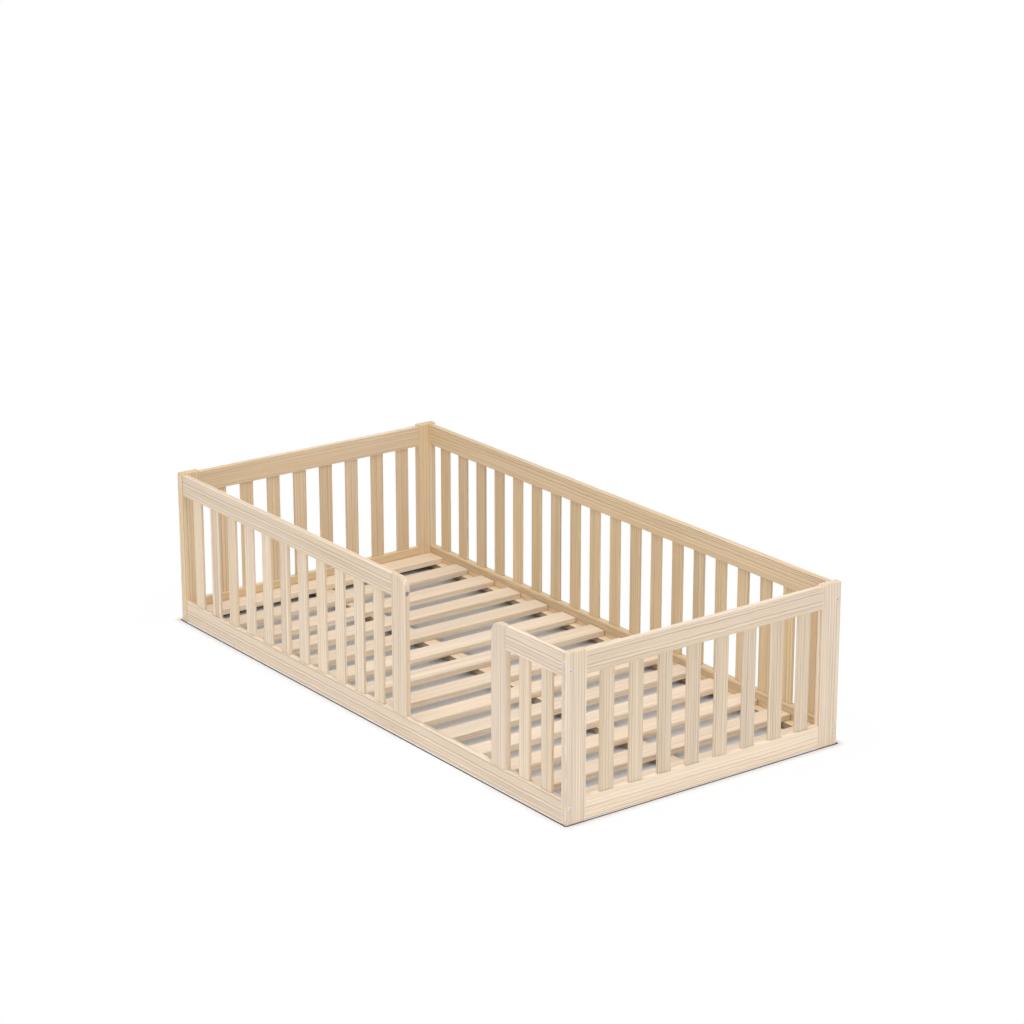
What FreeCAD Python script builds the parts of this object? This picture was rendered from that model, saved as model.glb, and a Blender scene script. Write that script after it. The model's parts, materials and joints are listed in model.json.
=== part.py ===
"""Toddler floor bed in solid pine, millimetres.

Frame: the origin is at floor level under the middle of the bed. +X runs along the bed from the
head end to the foot end, +Y from the entry side (front) to the closed side (back), +Z up.
Four boards stand at the corners. Rails run between them, and thin upright spindles stand in
mortises between each top rail and the lower rail under it. Slats lie across two ledgers and a
centre beam. Bolts in threaded inserts, dowels and screws hold the pieces together.
"""
import FreeCAD
import Part
import math
import os

from FreeCAD import Vector

os.makedirs("parts", exist_ok=True)

# ---------------------------------------------------------------- driving sizes
# Whole bed
bed_length = 1936.0
bed_width = 941.0
bed_height = 475.0

# Corner posts: flat boards, their wide face looks along X
post_thickness = 23.0
post_width = 65.0
post_round = 2.5

# Rails
rail_height = 65.0
rail_thickness = 18.0
rail_round = 2.0
rail_drop = 5.0            # the posts stand this much higher than the top rails
side_rail_recess = 4.0     # the long rails lie this far behind the posts' outer faces

# Spindles
spindle_width = 45.0
spindle_thickness = 9.0
spindle_round = 2.0
spindle_count = 19         # along the whole back; the front keeps the same places
mortise_depth = 10.0
glue_gap = 0.1             # round a spindle's end in its mortise
mortise_top_gap = 0.5      # above a spindle's upper end
end_panel_least_gap = 30.0 # no spindle stands nearer than this to the back corner post

# Entry in the front
guard_spindles = 11        # in the long guard, at the head end
short_guard_spindles = 2   # in the short guard, at the foot end
entry_post_width = 65.0
entry_corner_radius = 32.0

# Slatted base
ledger_width = 27.0
ledger_height = 22.0
ledger_end_gap = 0.5
beam_width = 43.5
beam_end_gap = 2.5         # from the end rails
support_round = 1.5        # rounded edges of the ledgers and the beam
slat_count = 14
slat_width = 68.0
slat_thickness = 18.0
slat_round = 2.0
slat_side_gap = 1.5        # between a slat's end and the long rail
slat_row_gap = 1.0         # between the first or last slat and the corner posts

# Bolts, and the threaded inserts in the end grain that they screw into
bolt_radius = 3.0
bolt_gap = 0.25            # between a bolt and the wood round it
corner_head_radius = 7.2   # heads on the corner posts
entry_head_radius = 6.0    # heads in the thinner boards at the entry
bolt_head_height = 2.6
bolt_head_sink = 0.4       # the head lies this far below the wood's face
head_gap = 0.3             # round the head in its counterbore
bolt_head_round = 0.5
bolt_key_width = 5.0       # across the flats of the hexagon socket
bolt_key_depth = 1.8
bolt_tip = 5.0             # the bolt reaches this far past its insert
bolt_tip_gap = 2.0         # empty end of the bolt's hole
insert_radius = 5.0
insert_length = 15.0
insert_chamfer = 0.6
insert_gap = 0.02          # round the insert in its hole
thread_gap = 0.02          # round the bolt in its insert
side_bolt_shift = 12.0     # from a rail's mid-height towards the bed's mid-height
end_bolt_shift = 7.5       # from a rail's mid-height away from the bed's mid-height
foot_counterbore = 20.0    # depth of the bolt head in the front lower rail's underside

# Dowels
dowel_radius = 4.0
dowel_chamfer = 0.8
dowel_gap = 0.05
dowel_end_gap = 1.0
dowel_wall = 2.5           # wood between a dowel and the bolt that crosses beside it
dowel_reach = 20.0         # into a rail's end or an entry post
dowel_in_post_face = 12.0  # into the thickness of a corner post
dowel_in_rail_edge = 15.0  # down into the front lower rail
foot_dowel_spread = 20.0   # from an entry post's middle to each foot dowel

# Countersunk wood screws
screw_radius = 2.0
screw_head_radius = 4.0
screw_head_height = 2.4
screw_head_sink = 0.5
screw_bite = 12.0          # length in the second piece
screw_point = 4.0
screw_point_radius = 0.4
screw_gap = 0.25
screw_pilot_gap = 0.02
screw_key_width = 2.6
screw_key_depth = 1.2
ledger_screw_clear = 25.0  # least distance along the rail from an entry post's foot bolt

cut_overrun = 1.0          # how far a cutting tool stands out of the face that it enters

# ---------------------------------------------------------------- places worked out from the sizes
x_axis = Vector(1, 0, 0)
y_axis = Vector(0, 1, 0)
z_axis = Vector(0, 0, 1)

half_length = bed_length / 2
half_width = bed_width / 2
post_inner_x = half_length - post_thickness
post_inner_y = half_width - post_width
post_middle_x = half_length - post_thickness / 2

side_rail_outer_y = half_width - side_rail_recess
side_rail_inner_y = side_rail_outer_y - rail_thickness
side_rail_middle_y = side_rail_outer_y - rail_thickness / 2
end_rail_inner_x = post_middle_x - rail_thickness / 2

top_rail_high = bed_height - rail_drop
top_rail_low = top_rail_high - rail_height
lower_rail_middle_z = rail_height / 2
top_rail_middle_z = top_rail_low + rail_height / 2

side_span = 2 * post_inner_x
spindle_gap = (side_span - spindle_count * spindle_width) / (spindle_count + 1)
spindle_pitch = spindle_gap + spindle_width
spindle_low = rail_height - mortise_depth
spindle_high = top_rail_low + mortise_depth - mortise_top_gap


def side_spindle_start(place):
    """Low X edge of a spindle in the long panels, counted from 0 at the head end."""
    return -post_inner_x + spindle_gap + place * spindle_pitch


# Each entry post takes the place of the next spindle: their outer edges line up
left_post_start = side_spindle_start(guard_spindles)
left_post_end = left_post_start + entry_post_width
right_post_end = side_spindle_start(spindle_count - 1 - short_guard_spindles) + spindle_width
right_post_start = right_post_end - entry_post_width

# The end panels keep the same gap and pitch, counted from the front post
end_span = 2 * post_inner_y
end_panel_room = end_span - spindle_gap - spindle_width - end_panel_least_gap
end_spindle_count = 1 + math.floor(end_panel_room / spindle_pitch)

slat_low = ledger_height
slat_high = slat_low + slat_thickness
slat_row_start = -post_inner_x + slat_row_gap
slat_pitch = (side_span - 2 * slat_row_gap - slat_width) / (slat_count - 1)
ledger_inner_y = side_rail_inner_y - ledger_width
ledger_middle_y = side_rail_inner_y - ledger_width / 2

dowel_shift = end_bolt_shift + bolt_radius + bolt_gap + dowel_wall + dowel_radius
bolt_counterbore = bolt_head_height + bolt_head_sink

# Rails by level: name part, middle height, direction from the rail to the bed's mid-height
levels = (("top", top_rail_middle_z, -1), ("lower", lower_rail_middle_z, 1))
ends = (("head", -1), ("foot", 1))
sides = (("front", -1), ("back", 1))

# ---------------------------------------------------------------- the growing model
bodies = {}      # node name: solid, before its holes are cut
cutters = {}     # node name: solids that cut its holes
groups = {}      # node name: separate solids of identical small pieces


def add_piece(name, solid):
    bodies[name] = solid
    cutters[name] = []


def add_to_group(name, solid):
    groups.setdefault(name, []).append(solid)


# ---------------------------------------------------------------- basic shapes
def board(low, high, radius, grain=None):
    """Board between two corners. Its edges along the grain, or all its edges, are rounded."""
    size = high - low
    box = Part.makeBox(size.x, size.y, size.z, low)
    edges = box.Edges
    if grain is not None:
        edges = [edge for edge in box.Edges if abs(edge.tangentAt(0).dot(grain)) > 0.9]
    return box.makeFillet(radius, edges)


def hexagon_prism(centre, direction, width, depth):
    """Hexagonal prism, width across its flats, from centre along direction."""
    across = z_axis.cross(direction)
    if across.Length < 0.5:
        across = x_axis
    corner_radius = width / math.sqrt(3)
    corners = []
    for index in range(6):
        turn = FreeCAD.Rotation(direction, 60 * index)
        corners.append(centre + turn.multVec(across) * corner_radius)
    outline = Part.makePolygon(corners + corners[:1])
    return Part.Face(outline).extrude(direction * depth)


# ---------------------------------------------------------------- hardware
def bolt(seat, inward, shank_length, head_radius):
    """Flat-headed bolt. seat is the middle of the head's underside, inward is along the shank."""
    head_top = seat - inward * bolt_head_height
    head = Part.makeCylinder(head_radius, bolt_head_height, head_top, inward)
    rim = [edge for edge in head.Edges if (edge.CenterOfMass - head_top).Length < 1e-6]
    head = head.makeFillet(bolt_head_round, rim)
    shank = Part.makeCylinder(bolt_radius, shank_length, seat, inward)
    socket = hexagon_prism(head_top, inward, bolt_key_width, bolt_key_depth)
    return head.fuse(shank).removeSplitter().cut(socket)


def insert_nut(mouth, inward):
    """Threaded sleeve, from its mouth at the end of the wood along inward."""
    sleeve = Part.makeCylinder(insert_radius, insert_length, mouth, inward)
    rims = [edge for edge in sleeve.Edges if isinstance(edge.Curve, Part.Circle)]
    bore = Part.makeCylinder(bolt_radius + thread_gap, insert_length, mouth, inward)
    return sleeve.makeChamfer(insert_chamfer, rims).cut(bore)


def dowel(start, direction, length):
    """Round wooden pin with both ends chamfered."""
    pin = Part.makeCylinder(dowel_radius, length, start, direction)
    rims = [edge for edge in pin.Edges if isinstance(edge.Curve, Part.Circle)]
    return pin.makeChamfer(dowel_chamfer, rims)


def screw(head_top, direction, length):
    """Countersunk screw: a cone for the head, a plain shank and a short point."""
    head = Part.makeCone(screw_head_radius, screw_radius, screw_head_height, head_top, direction)
    shank = Part.makeCylinder(screw_radius, length - screw_point, head_top, direction)
    point = Part.makeCone(screw_radius, screw_point_radius, screw_point,
                          head_top + direction * (length - screw_point), direction)
    key = hexagon_prism(head_top, direction, screw_key_width, screw_key_depth)
    return head.fuse([shank, point]).removeSplitter().cut(key)


# ---------------------------------------------------------------- joints between two pieces
def bolt_joint(bolt_node, face, inward, clamped, clamped_size, receiver, counterbore, head_radius):
    """Bolt from the clamped piece's outer face into a threaded insert in the receiver's end.

    face is the bolt's axis on the outer face and clamped_size the wood from there to the receiver.
    """
    seat = face + inward * counterbore
    meeting = face + inward * clamped_size
    shank_length = clamped_size - counterbore + insert_length + bolt_tip
    add_to_group(bolt_node, bolt(seat, inward, shank_length, head_radius))
    add_to_group("insert_nuts", insert_nut(meeting, inward))

    hole_radius = bolt_radius + bolt_gap
    cutters[clamped].append(Part.makeCylinder(
        head_radius + head_gap, counterbore + cut_overrun, face - inward * cut_overrun, inward))
    cutters[clamped].append(Part.makeCylinder(
        hole_radius, clamped_size - counterbore + cut_overrun, seat, inward))

    # The insert's hole ends in a step that the insert bears on
    cutters[receiver].append(Part.makeCylinder(
        insert_radius + insert_gap, insert_length + cut_overrun, meeting - inward * cut_overrun, inward))
    cutters[receiver].append(Part.makeCylinder(
        hole_radius, insert_length + bolt_tip + bolt_tip_gap, meeting, inward))


def dowel_joint(dowel_node, meeting, direction, base, base_depth, receiver, receiver_depth):
    """Dowel across the meeting face, from the base into the receiver, where it reaches the end."""
    hole_radius = dowel_radius + dowel_gap
    start = meeting - direction * base_depth
    add_to_group(dowel_node, dowel(start, direction, base_depth + receiver_depth))
    cutters[base].append(Part.makeCylinder(
        hole_radius, base_depth + dowel_end_gap + cut_overrun,
        start - direction * dowel_end_gap, direction))
    cutters[receiver].append(Part.makeCylinder(
        hole_radius, receiver_depth + cut_overrun, meeting - direction * cut_overrun, direction))


def screw_joint(screw_node, face, direction, clamped, clamped_size, receiver):
    """Countersunk screw through the clamped piece into a pilot hole in the receiver."""
    head_top = face + direction * screw_head_sink
    length = clamped_size - screw_head_sink + screw_bite
    add_to_group(screw_node, screw(head_top, direction, length))
    cutters[clamped].append(Part.makeCylinder(
        screw_head_radius, screw_head_sink + cut_overrun, face - direction * cut_overrun, direction))
    cutters[clamped].append(Part.makeCone(
        screw_head_radius, screw_radius, screw_head_height, head_top, direction))
    cutters[clamped].append(Part.makeCylinder(
        screw_radius + screw_gap, clamped_size, head_top, direction))
    meeting = face + direction * clamped_size
    cutters[receiver].append(Part.makeCylinder(
        screw_radius + screw_pilot_gap, screw_bite + screw_gap + cut_overrun,
        meeting - direction * cut_overrun, direction))


# ---------------------------------------------------------------- corner posts
def make_corner_posts():
    for end_name, end in ends:
        for side_name, side in sides:
            x_faces = sorted((end * half_length, end * post_inner_x))
            y_faces = sorted((side * half_width, side * post_inner_y))
            low = Vector(x_faces[0], y_faces[0], 0)
            high = Vector(x_faces[1], y_faces[1], bed_height)
            add_piece(f"{end_name}_post_{side_name}", board(low, high, post_round))


# ---------------------------------------------------------------- rails
def side_rail(name, start_x, end_x, side, low_z):
    y_faces = sorted((side * side_rail_outer_y, side * side_rail_inner_y))
    low = Vector(start_x, y_faces[0], low_z)
    high = Vector(end_x, y_faces[1], low_z + rail_height)
    add_piece(name, board(low, high, rail_round, x_axis))


def end_rail(name, end, low_z):
    low = Vector(end * post_middle_x - rail_thickness / 2, -post_inner_y, low_z)
    high = Vector(end * post_middle_x + rail_thickness / 2, post_inner_y, low_z + rail_height)
    add_piece(name, board(low, high, rail_round, y_axis))


def make_rails():
    side_rail("back_top_rail", -post_inner_x, post_inner_x, 1, top_rail_low)
    side_rail("back_lower_rail", -post_inner_x, post_inner_x, 1, 0)
    side_rail("front_lower_rail", -post_inner_x, post_inner_x, -1, 0)
    side_rail("front_top_rail_left", -post_inner_x, left_post_start, -1, top_rail_low)
    side_rail("front_top_rail_right", right_post_end, post_inner_x, -1, top_rail_low)
    for end_name, end in ends:
        end_rail(f"{end_name}_top_rail", end, top_rail_low)
        end_rail(f"{end_name}_lower_rail", end, 0)


# ---------------------------------------------------------------- entry posts
def entry_post(name, start_x, end_x, entry_direction):
    """Upright beside the entry, with a large quarter-round corner at the top on the entry side."""
    low = Vector(start_x, -side_rail_outer_y, rail_height)
    high = Vector(end_x, -side_rail_inner_y, top_rail_high)
    entry_x = end_x if entry_direction > 0 else start_x
    size = high - low
    box = Part.makeBox(size.x, size.y, size.z, low)
    corner = [edge for edge in box.Edges
              if abs(edge.CenterOfMass.x - entry_x) < 1e-6
              and abs(edge.CenterOfMass.z - top_rail_high) < 1e-6]
    shaped = box.makeFillet(entry_corner_radius, corner)
    outline = [edge for edge in shaped.Edges
               if abs(edge.tangentAt(edge.FirstParameter).dot(y_axis)) < 0.5
               and edge.BoundBox.ZMax > rail_height + 1e-6]
    add_piece(name, shaped.makeFillet(rail_round, outline))


def make_entry_posts():
    entry_post("entry_post_left", left_post_start, left_post_end, 1)
    entry_post("entry_post_right", right_post_start, right_post_end, -1)


# ---------------------------------------------------------------- spindles
def spindle_board(middle, along, low_z, high_z, extra):
    """Upright strip, its width along the panel. extra widens it all round for the mortise."""
    across = z_axis.cross(along)
    half = along * (spindle_width / 2 + extra) + across * (spindle_thickness / 2 + extra)
    half = Vector(abs(half.x), abs(half.y), 0)
    low = middle - half + z_axis * low_z
    high = middle + half + z_axis * high_z
    return board(low, high, spindle_round + extra, z_axis)


def stand_spindle(middle, along, lower_rail, top_rail):
    """Cut both mortises of one spindle and return the spindle. It stands on its lower mortise."""
    cutters[lower_rail].append(
        spindle_board(middle, along, spindle_low, rail_height + cut_overrun, glue_gap))
    cutters[top_rail].append(
        spindle_board(middle, along, top_rail_low - cut_overrun, top_rail_low + mortise_depth, glue_gap))
    return spindle_board(middle, along, spindle_low, spindle_high, 0)


def side_spindle(place, side, lower_rail, top_rail):
    middle = Vector(side_spindle_start(place) + spindle_width / 2, side * side_rail_middle_y, 0)
    return stand_spindle(middle, x_axis, lower_rail, top_rail)


def make_spindles():
    for place in range(spindle_count):
        add_to_group("back_spindles", side_spindle(place, 1, "back_lower_rail", "back_top_rail"))
    for place in range(guard_spindles):
        add_piece(f"guard_spindle_{place + 1:02d}",
                  side_spindle(place, -1, "front_lower_rail", "front_top_rail_left"))
    for count in range(short_guard_spindles):
        place = spindle_count - short_guard_spindles + count
        add_piece(f"short_guard_spindle_{count + 1:02d}",
                  side_spindle(place, -1, "front_lower_rail", "front_top_rail_right"))
    for end_name, end in ends:
        for place in range(end_spindle_count):
            start_y = -post_inner_y + spindle_gap + place * spindle_pitch
            middle = Vector(end * post_middle_x, start_y + spindle_width / 2, 0)
            add_to_group(f"{end_name}_spindles", stand_spindle(
                middle, y_axis, f"{end_name}_lower_rail", f"{end_name}_top_rail"))


# ---------------------------------------------------------------- slatted base
def make_slatted_base():
    ledger_half = post_inner_x - ledger_end_gap
    for side_name, side in sides:
        y_faces = sorted((side * side_rail_inner_y, side * ledger_inner_y))
        low = Vector(-ledger_half, y_faces[0], 0)
        high = Vector(ledger_half, y_faces[1], ledger_height)
        add_piece(f"ledger_{side_name}", board(low, high, support_round, x_axis))

    beam_half = end_rail_inner_x - beam_end_gap
    low = Vector(-beam_half, -beam_width / 2, 0)
    high = Vector(beam_half, beam_width / 2, ledger_height)
    add_piece("centre_beam", board(low, high, support_round, x_axis))

    slat_half = side_rail_inner_y - slat_side_gap
    for place in range(slat_count):
        start_x = slat_row_start + place * slat_pitch
        low = Vector(start_x, -slat_half, slat_low)
        high = Vector(start_x + slat_width, slat_half, slat_high)
        add_piece(f"slat_{place + 1:02d}", board(low, high, slat_round, y_axis))


# ---------------------------------------------------------------- how the pieces are joined
def top_rail_at(end_name, side_name):
    """Name of the long top rail that meets a corner post."""
    if side_name == "back":
        return "back_top_rail"
    return "front_top_rail_left" if end_name == "head" else "front_top_rail_right"


def join_corner(end_name, end, side_name, side):
    post = f"{end_name}_post_{side_name}"
    for level, middle_z, towards_middle in levels:
        side_rail_name = top_rail_at(end_name, side_name) if level == "top" else f"{side_name}_lower_rail"
        end_rail_name = f"{end_name}_{level}_rail"

        # Long rail: bolt and dowel through the post's thickness
        inward = x_axis * -end
        bolt_z = middle_z + towards_middle * side_bolt_shift
        dowel_z = middle_z - towards_middle * dowel_shift
        bolt_joint("side_rail_bolts",
                   Vector(end * half_length, side * side_rail_middle_y, bolt_z), inward,
                   post, post_thickness, side_rail_name, bolt_counterbore, corner_head_radius)
        dowel_joint("side_rail_dowels",
                    Vector(end * post_inner_x, side * side_rail_middle_y, dowel_z), inward,
                    post, dowel_in_post_face, side_rail_name, dowel_reach)

        # End rail: bolt through the post's width, dowel into its edge
        inward = y_axis * -side
        bolt_z = middle_z - towards_middle * end_bolt_shift
        dowel_z = middle_z + towards_middle * dowel_shift
        bolt_joint("end_rail_bolts",
                   Vector(end * post_middle_x, side * half_width, bolt_z), inward,
                   post, post_width, end_rail_name, bolt_counterbore, corner_head_radius)
        dowel_joint("end_rail_dowels",
                    Vector(end * post_middle_x, side * post_inner_y, dowel_z), inward,
                    post, dowel_reach, end_rail_name, dowel_reach)


def join_entry_post(name, entry_x, rail_x, outward, top_rail):
    """outward points along X from the entry towards the top rail that meets the post at rail_x."""
    middle_x = (entry_x + rail_x) / 2
    bolt_z = top_rail_middle_z - side_bolt_shift
    dowel_z = top_rail_middle_z + dowel_shift
    bolt_joint("entry_top_bolts", Vector(entry_x, -side_rail_middle_y, bolt_z), outward,
               name, entry_post_width, top_rail, bolt_counterbore, entry_head_radius)
    dowel_joint("entry_post_dowels", Vector(rail_x, -side_rail_middle_y, dowel_z), outward,
                name, dowel_reach, top_rail, dowel_reach)
    bolt_joint("entry_foot_bolts", Vector(middle_x, -side_rail_middle_y, 0), z_axis,
               "front_lower_rail", rail_height, name, foot_counterbore, entry_head_radius)
    for direction in (-1, 1):
        foot = Vector(middle_x + direction * foot_dowel_spread, -side_rail_middle_y, rail_height)
        dowel_joint("entry_post_dowels", foot, z_axis,
                    "front_lower_rail", dowel_in_rail_edge, name, dowel_reach)


def join_slatted_base():
    """Each slat is screwed from below at both ledgers and the beam. The ledgers' own screws go
    into the lower rails between the slats, clear of the entry posts' foot bolts."""
    supports = {"ledger_front": -ledger_middle_y, "ledger_back": ledger_middle_y, "centre_beam": 0}
    for place in range(slat_count):
        middle_x = slat_row_start + place * slat_pitch + slat_width / 2
        for support, support_y in supports.items():
            screw_joint("slat_screws", Vector(middle_x, support_y, 0), z_axis,
                        support, ledger_height, f"slat_{place + 1:02d}")

    foot_bolts = ((left_post_start + left_post_end) / 2, (right_post_start + right_post_end) / 2)
    for side_name, side in sides:
        for place in range(0, slat_count - 1, 2):
            gap_x = slat_row_start + place * slat_pitch + (slat_pitch + slat_width) / 2
            if min(abs(gap_x - foot_x) for foot_x in foot_bolts) < ledger_screw_clear:
                continue
            screw_joint("ledger_screws",
                        Vector(gap_x, side * ledger_inner_y, ledger_height / 2), y_axis * side,
                        f"ledger_{side_name}", ledger_width, f"{side_name}_lower_rail")


def join_pieces():
    for end_name, end in ends:
        for side_name, side in sides:
            join_corner(end_name, end, side_name, side)
    join_entry_post("entry_post_left", left_post_end, left_post_start, x_axis * -1,
                    "front_top_rail_left")
    join_entry_post("entry_post_right", right_post_start, right_post_end, x_axis,
                    "front_top_rail_right")
    join_slatted_base()


# ---------------------------------------------------------------- write the nodes
def write_nodes():
    for name, body in bodies.items():
        shape = body
        if cutters[name]:
            shape = body.cut(cutters[name])
        shape.exportStep(f"parts/{name}.step")
        print(f"{name}: {len(shape.Solids)} solid, {shape.Volume / 1000:.1f} cm3, valid {shape.isValid()}")
    for name, solids in groups.items():
        shape = Part.makeCompound(solids)
        shape.exportStep(f"parts/{name}.step")
        print(f"{name}: {len(shape.Solids)} solids, valid {shape.isValid()}")


make_corner_posts()
make_rails()
make_entry_posts()
make_spindles()
make_slatted_base()
join_pieces()
write_nodes()
print(f"mattress space {side_span:.0f} x {2 * side_rail_inner_y:.0f}, slat tops at {slat_high:.0f}")
print(f"spindle gap {spindle_gap:.2f}, entry {right_post_start - left_post_end:.2f} wide")
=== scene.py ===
# Toddler floor bed in pine. Every board and fastener is worked out with numpy round the packed
# model: a profile swept along the grain, or a lathe profile that changes with the angle.
import json
import math

import bpy
import numpy as np
from mathutils import Matrix, Vector


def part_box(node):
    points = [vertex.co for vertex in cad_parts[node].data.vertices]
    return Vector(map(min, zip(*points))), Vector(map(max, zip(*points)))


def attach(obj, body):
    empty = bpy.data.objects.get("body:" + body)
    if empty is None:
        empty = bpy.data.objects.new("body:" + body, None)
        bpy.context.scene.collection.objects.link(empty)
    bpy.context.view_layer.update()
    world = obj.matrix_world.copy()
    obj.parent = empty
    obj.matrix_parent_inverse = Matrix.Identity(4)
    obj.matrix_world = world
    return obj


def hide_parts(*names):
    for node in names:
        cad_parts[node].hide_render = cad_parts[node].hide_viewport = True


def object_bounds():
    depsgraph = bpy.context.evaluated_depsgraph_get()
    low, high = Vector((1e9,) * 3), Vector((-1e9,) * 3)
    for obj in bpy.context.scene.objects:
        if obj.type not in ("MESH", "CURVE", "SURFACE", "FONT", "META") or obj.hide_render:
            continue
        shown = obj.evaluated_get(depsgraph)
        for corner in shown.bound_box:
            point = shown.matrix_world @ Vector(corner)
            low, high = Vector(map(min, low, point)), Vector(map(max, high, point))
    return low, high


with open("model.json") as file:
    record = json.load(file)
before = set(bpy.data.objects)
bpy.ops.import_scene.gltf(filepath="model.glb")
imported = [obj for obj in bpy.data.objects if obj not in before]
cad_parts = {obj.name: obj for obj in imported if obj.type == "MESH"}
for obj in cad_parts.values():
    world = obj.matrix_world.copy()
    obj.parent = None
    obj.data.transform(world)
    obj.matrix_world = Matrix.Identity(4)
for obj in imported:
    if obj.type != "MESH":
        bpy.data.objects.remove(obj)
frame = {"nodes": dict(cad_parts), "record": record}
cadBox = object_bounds()
millimetre = 0.001
lengthwise, crosswise, upright = 0, 1, 2    # the axes X, Y and Z


# ---- meshes from arrays

def gridFaces(rings, around):
    # Quads between neighbouring rings, counted round; one face closes each end
    ring, step = np.meshgrid(np.arange(rings - 1), np.arange(around), indexing="ij")
    after = (step + 1) % around
    quads = np.stack([ring * around + step, ring * around + after,
                      (ring + 1) * around + after, (ring + 1) * around + step], axis=-1)
    firstCap = np.arange(around)[::-1]
    lastCap = np.arange(around) + (rings - 1) * around
    return quads.reshape(-1, 4), [firstCap, lastCap]


def makeMesh(name, grids):
    # grids are arrays (ring, step round, xyz); each is one closed surface of the mesh
    points, loops, starts = [], [], []
    pointCount, loopCount = 0, 0
    for grid in grids:
        rings, around = grid.shape[:2]
        quads, caps = gridFaces(rings, around)
        points.append(grid.reshape(-1, 3))
        loops.append(quads.ravel() + pointCount)
        starts.append(np.arange(len(quads)) * 4 + loopCount)
        loopCount += quads.size
        for cap in caps:
            loops.append(cap + pointCount)
            starts.append(np.array([loopCount]))
            loopCount += around
        pointCount += rings * around
    points, loops, starts = np.concatenate(points), np.concatenate(loops), np.concatenate(starts)
    mesh = bpy.data.meshes.new(name)
    mesh.vertices.add(len(points))
    mesh.vertices.foreach_set("co", points.astype(np.float32).ravel())
    mesh.loops.add(len(loops))
    mesh.loops.foreach_set("vertex_index", loops.astype(np.int32))
    mesh.polygons.add(len(starts))
    mesh.polygons.foreach_set("loop_start", starts.astype(np.int32))
    mesh.update(calc_edges=True)
    mesh.validate()
    return mesh


def addPiece(name, mesh, slot, material, *nodes):
    piece = bpy.data.objects.new(name, mesh)
    bpy.context.scene.collection.objects.link(piece)
    mesh.materials.append(material)
    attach(piece, "root")
    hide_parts(*nodes)
    return piece


def smoothExceptCorners(mesh, degrees=34):
    mesh.polygons.foreach_set("use_smooth", np.ones(len(mesh.polygons), bool))
    mesh.set_sharp_from_angle(angle=math.radians(degrees))


def vertexPlaces(mesh):
    places = np.empty(len(mesh.vertices) * 3, np.float32)
    mesh.vertices.foreach_get("co", places)
    return places.reshape(-1, 3).astype(float)


def looseParts(node):
    # Corner points of the separate solids in one node. Corners that agree to a micrometre are one,
    # and the lowest corner number spreads through shared corners until nothing changes
    mesh = frame["nodes"][node].data
    corners, number = np.unique(np.round(vertexPlaces(mesh), 6), axis=0, return_inverse=True)
    triangles = np.empty(len(mesh.loops), np.int32)
    mesh.loops.foreach_get("vertex_index", triangles)
    triangles = number.ravel()[triangles].reshape(-1, 3)
    label = np.arange(len(corners))
    changed = True
    while changed:
        spread = label.copy()
        np.minimum.at(spread, triangles.ravel(), np.repeat(label[triangles].min(axis=1), 3))
        spread = spread[spread]
        changed = bool((spread != label).any())
        label = spread
    return [corners[label == value] for value in np.unique(label)]


# ---- boards

boardShape = {
    "arcSteps": 4,        # facets on a rounded edge
    "endSteps": 3,        # facets where an edge turns over the board's end
    "support": 0.6,       # mm, narrow strip beside an edge that keeps the face flat
    "ringSpacing": 70.0,  # mm between cross sections
    "leastArc": 2e-5,     # m, so that an edge is never quite sharp
    "edgeWander": 0.14,   # share by which a sanded edge's radius drifts along the board
    "slowWave": 9,        # radians of that drift per metre, and of a weaker, quicker one
    "quickWave": 23,
    "quickShare": 0.6,
}


def ringPlan(length, endRound, spacing):
    # Places and insets of the cross sections. Over the end's rounding, with t from 0 to a quarter
    # turn, the place is r(1 - cos t) and the inset r(1 - sin t)
    support = boardShape["support"] * millimetre
    turn = np.linspace(0, math.pi / 2, boardShape["endSteps"] + 1)
    place = np.r_[0, endRound * (1 - np.cos(turn)), endRound + support]
    inset = np.r_[endRound + support, endRound * (1 - np.sin(turn)), 0]
    inner = place[-1]
    count = max(2, int((length - 2 * inner) / spacing))
    middle = np.linspace(inner, length - inner, count + 1)[1:-1]
    return (np.r_[place, middle, length - place[::-1]],
            np.r_[inset, np.zeros(len(middle)), inset[::-1]])


def sectionRings(halfA, halfB, radii, inset, arcSteps):
    # Rounded rectangles, one per inset. Each corner is a quarter arc round a centre that lies
    # max(radius, inset) inside the corner, with a flat point beside each end of the arc
    support = boardShape["support"] * millimetre
    centreIn = np.maximum(radii, inset[:, None])
    arcRadius = np.maximum(centreIn - inset[:, None], boardShape["leastArc"])
    parts = []
    for corner, (signA, signB) in enumerate(((1, 1), (-1, 1), (-1, -1), (1, -1))):
        turn = (corner + np.linspace(0, 1, arcSteps + 1)) * math.pi / 2
        a = signA * (halfA - centreIn[:, corner, None]) + arcRadius[:, corner, None] * np.cos(turn)
        b = signB * (halfB - centreIn[:, corner, None]) + arcRadius[:, corner, None] * np.sin(turn)
        first, last = turn[0], turn[-1]
        before = np.stack([a[:, :1] + support * math.sin(first),
                           b[:, :1] - support * math.cos(first)], -1)
        after = np.stack([a[:, -1:] - support * math.sin(last),
                          b[:, -1:] + support * math.cos(last)], -1)
        parts += [before, np.stack([a, b], -1), after]
    return np.concatenate(parts, axis=1)


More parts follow.
